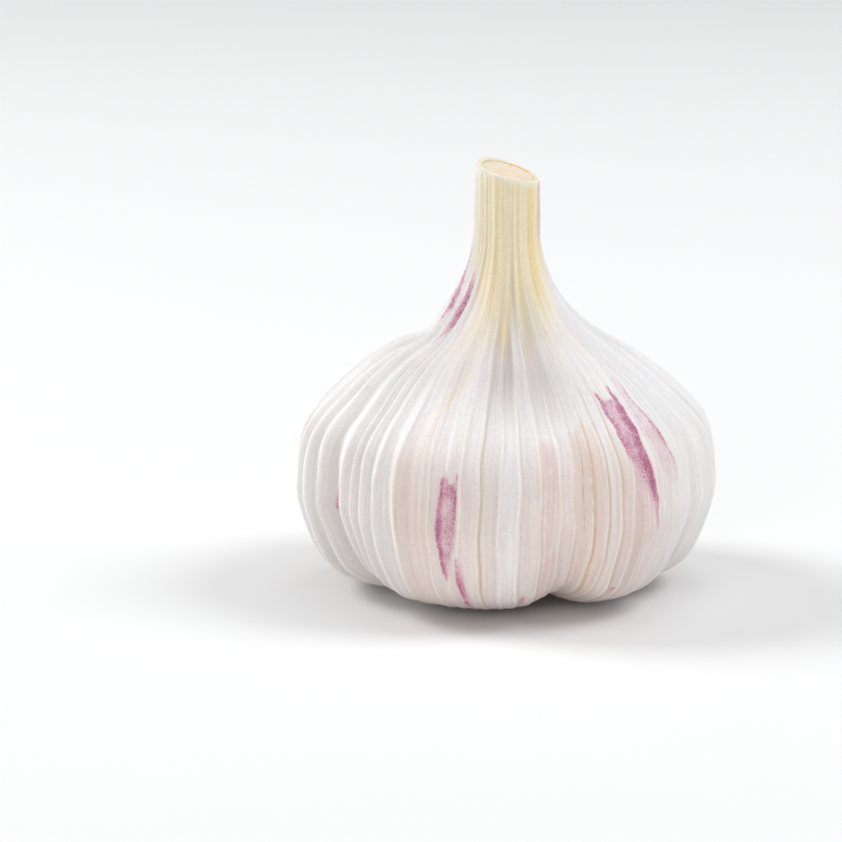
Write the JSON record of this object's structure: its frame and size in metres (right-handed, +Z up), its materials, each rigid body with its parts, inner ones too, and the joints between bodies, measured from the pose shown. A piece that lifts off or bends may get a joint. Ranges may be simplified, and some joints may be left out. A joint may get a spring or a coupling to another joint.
{
  "type": "garlic bulb",
  "caption": "Whole garlic bulb with ribbed papery skin over its cloves, a neck cut at a slant and a flat root plate that it stands on.",
  "frame": {"origin": "middle of the root plate's flat face, on the surface the bulb stands on", "axes": "+Z up along the bulb's axis, to the cut neck; -Y is the front, where the purple streaks show; the neck's cut falls towards +X"},
  "size_m": [0.0607, 0.0585, 0.0624],
  "materials": {
    "papery_skin": "dry papery skin, white to pale pink with cream veins and a few purple streaks, faint satin sheen",
    "cut_stalk": "cut plant fibre, pale cream, matt",
    "root_cork": "dry corky root plate with clipped roots, tan, rough"
  },
  "bodies": {
    "root": {"bulb_skin": "papery_skin", "stalk_core": "cut_stalk", "root_plate": "root_cork"}
  },
  "joints": []
}
